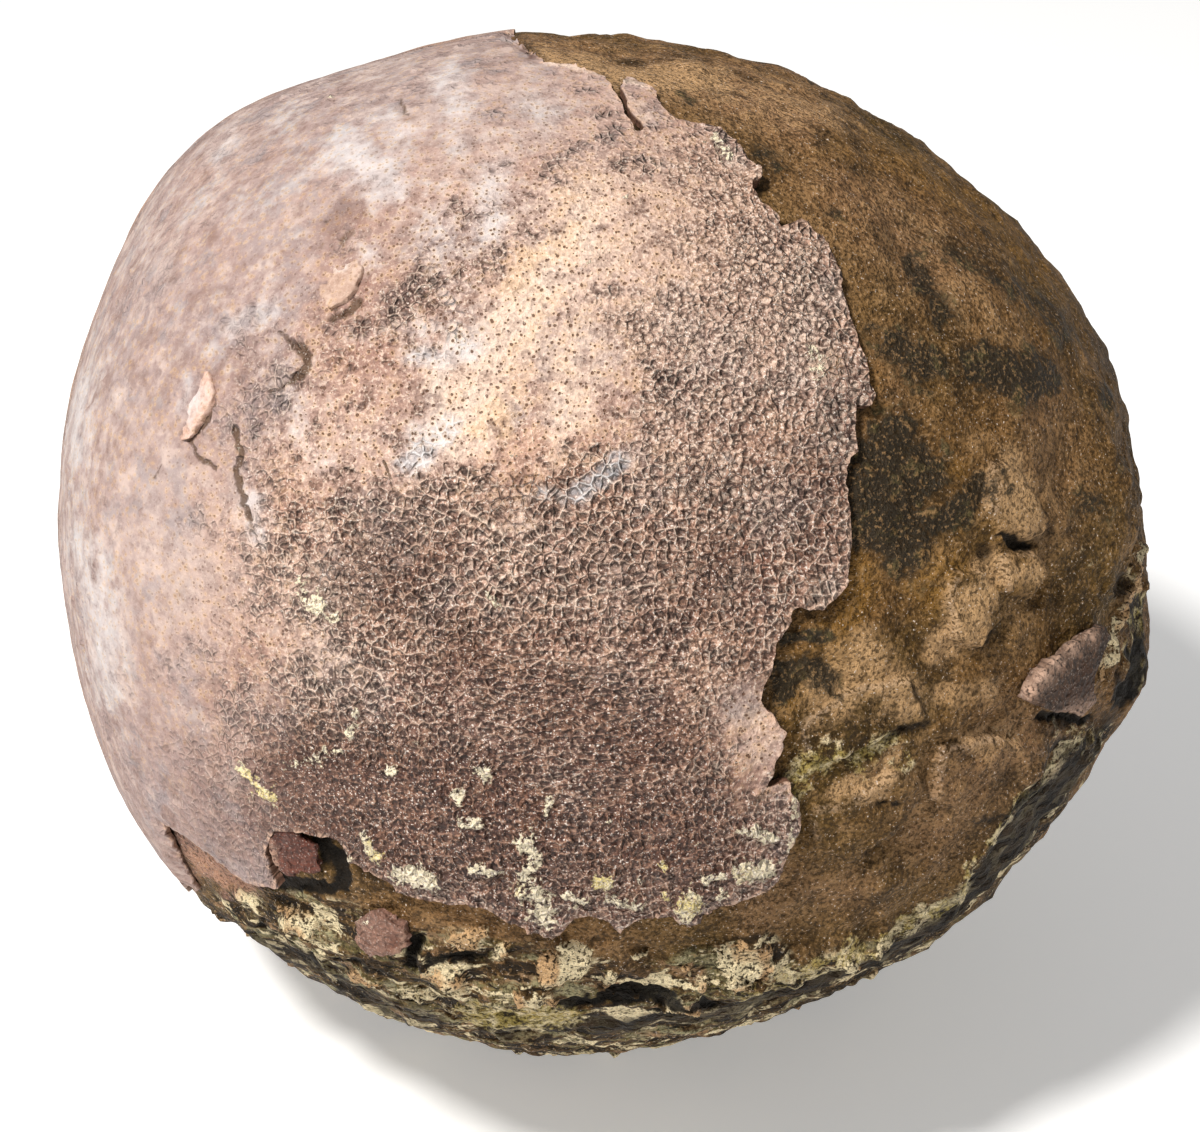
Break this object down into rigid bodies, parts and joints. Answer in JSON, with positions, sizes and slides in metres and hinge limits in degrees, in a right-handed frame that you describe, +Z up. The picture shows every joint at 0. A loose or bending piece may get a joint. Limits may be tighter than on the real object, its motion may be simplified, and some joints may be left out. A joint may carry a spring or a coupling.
{
  "type": "fossil egg",
  "caption": "Rounded fossil egg: thin pitted eggshell broken away from a lump of sediment stone, resting on a small flat spot.",
  "frame": {"origin": "middle of the flat spot that the egg rests on", "axes": "+Z up, the front with the broad shelled side and the broken edge faces -Y, the bare sediment is at +X"},
  "size_m": [0.1544, 0.1511, 0.1442],
  "materials": {
    "sediment": "matte",
    "eggshell": "matte",
    "chip": "matte",
    "flake_pale": "matte",
    "flake_buff": "matte",
    "rim_bit": "matte",
    "wedge": "matte"
  },
  "bodies": {
    "root": {"stone_core": "sediment", "eggshell": "eggshell", "shell_chip_lower_left": "chip", "shell_flake_left": "flake_pale", "shell_flake_upper": "flake_buff", "shell_fragment_rim": "rim_bit", "shell_fragment_right": "wedge"}
  },
  "joints": []
}
